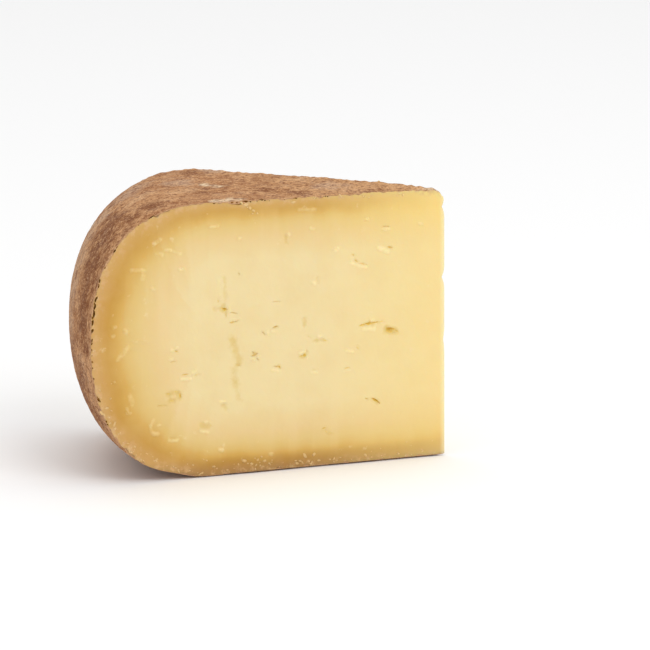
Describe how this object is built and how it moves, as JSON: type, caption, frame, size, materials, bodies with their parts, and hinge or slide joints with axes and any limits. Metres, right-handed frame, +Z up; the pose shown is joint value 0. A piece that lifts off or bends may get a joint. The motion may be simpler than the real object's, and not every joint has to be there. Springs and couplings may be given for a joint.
{
  "type": "cheese wedge",
  "caption": "Wedge of aged gouda cut from a farmhouse wheel: rounded natural brown rind, two flat cut faces with eyes and slits, and a flat base that it stands on.",
  "frame": {"origin": "on the surface the wedge stands on, under the middle of its bounding box", "axes": "+Z up; +X from the rind towards the tip where the cut faces meet; the front cut face looks to -Y and the back one to +Y"},
  "size_m": [0.15, 0.1058, 0.1099],
  "materials": {
    "paste": "satin",
    "rind": "matte"
  },
  "bodies": {
    "root": {"cheese_wedge": "paste"}
  },
  "joints": []
}
